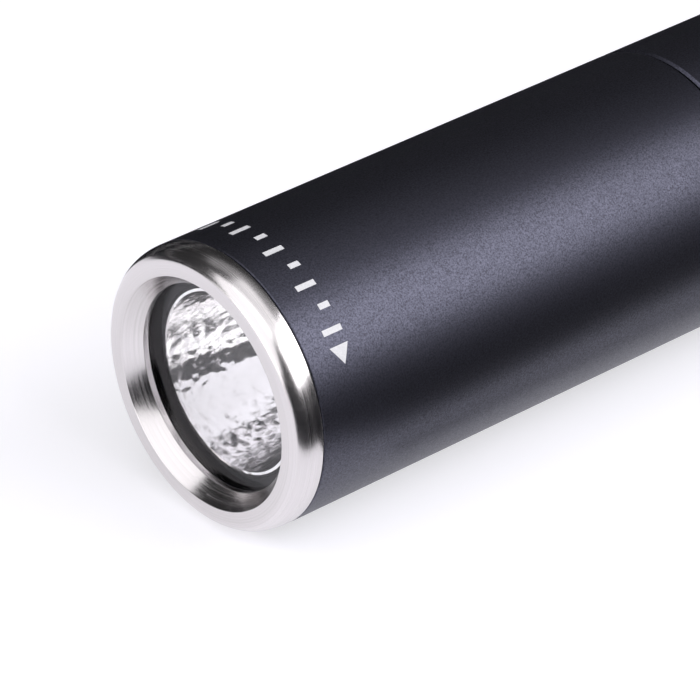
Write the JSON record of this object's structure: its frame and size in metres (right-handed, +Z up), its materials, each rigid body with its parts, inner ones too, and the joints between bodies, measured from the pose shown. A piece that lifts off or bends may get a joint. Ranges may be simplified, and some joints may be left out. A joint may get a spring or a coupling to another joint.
{
  "type": "penlight",
  "caption": "Slim round penlight with a turned steel bezel, dimpled reflector, screw-on head and tail cap, pocket clip and tail button.",
  "frame": {"origin": "on the torch's axis, in the middle of the head's plain barrel", "axes": "+X along the axis towards the tail, so the beam leaves along -X; +Z up, with the torch lying on its side"},
  "size_m": [0.1291, 0.0171, 0.0146],
  "materials": {
    "steel_turned": "turned and polished",
    "glass_clear": "clear, coated",
    "rubber_black": "matte",
    "reflector_silver": "bright, dimpled",
    "plastic_white": "matte",
    "lamp_phosphor": "matte",
    "dome_clear": "clear silicone",
    "board_white": "solder mask",
    "lead_red": "insulated wire",
    "brass": "turned",
    "board_green": "solder mask",
    "chip_black": "moulded",
    "aluminium_black": "fine blasted, hard anodised",
    "print_white": "matte ink",
    "spring_gold": "gold plated",
    "seal_red": "lightly greased",
    "cell_wrap": "shrink wrapped can",
    "steel_nickel": "nickel plated",
    "clip_steel": "black finished spring steel",
    "plastic_black": "moulded",
    "button_rubber": "moulded, soft"
  },
  "bodies": {
    "tube": {"battery_tube": "aluminium_black", "front_seal": "seal_red", "rear_seal": "seal_red", "front_cell": "cell_wrap", "rear_cell": "cell_wrap", "cell_terminals": "steel_nickel", "clip_ring": "clip_steel"},
    "front_contact": {"front_contact": "brass", "front_spring": "spring_gold"},
    "head": {"head_shell": "aluminium_black", "index_marks": "print_white", "bezel": "steel_turned", "lens": "glass_clear", "lens_gasket": "rubber_black", "reflector": "reflector_silver", "centring_ring": "plastic_white", "lamp_package": "lamp_phosphor", "lamp_dome": "dome_clear", "lamp_board": "board_white", "lamp_leads": "lead_red", "heat_sink": "brass", "driver_board": "board_green", "driver_chips": "chip_black", "driver_ring": "brass"},
    "tail_contact": {"tail_plate": "brass", "tail_spring": "spring_gold"},
    "tail_cap": {"tail_cap": "aluminium_black", "switch_ring": "brass", "switch_board": "board_green", "switch_housing": "plastic_black", "button_seal": "seal_red", "switch_spring": "spring_gold"},
    "button": {"tail_button": "button_rubber", "switch_plunger": "plastic_white"},
    "clip": {"clip_arm": "clip_steel"}
  },
  "joints": [
    {"name": "head_travel", "type": "slide", "parent": "tube", "child": "front_contact", "axis": [-1, 0, 0], "range_m": [0, 0.0075]},
    {"name": "head_turn", "type": "hinge", "parent": "front_contact", "child": "head", "pos_m": [0, 0, 0], "axis": [-1, 0, 0], "range_deg": [0, 2704]},
    {"name": "cap_travel", "type": "slide", "parent": "tube", "child": "tail_contact", "axis": [1, 0, 0], "range_m": [0, 0.0081]},
    {"name": "cap_turn", "type": "hinge", "parent": "tail_contact", "child": "tail_cap", "pos_m": [0.08986, 0, 0], "axis": [1, 0, 0], "range_deg": [0, 2920]},
    {"name": "button_press", "type": "slide", "parent": "tail_cap", "child": "button", "axis": [-1, 0, 0], "range_m": [0, 0.0012], "stiffness_N_per_m": 900, "springref_m": -0.0008, "deforming": ["switch_spring"]},
    {"name": "clip_flex", "type": "hinge", "parent": "tube", "child": "clip", "pos_m": [0.0886, 0.00866, -0.0051], "axis": [0, -0.507, -0.862], "range_deg": [0, 6], "stiffness_Nm_per_rad": 1.5, "springref_deg": -1.15}
  ],
  "couplings": [
    {"joint": "head_turn", "follows": "head_travel", "rad_per_m": 6283.2},
    {"joint": "cap_turn", "follows": "cap_travel", "rad_per_m": 6283.2}
  ]
}
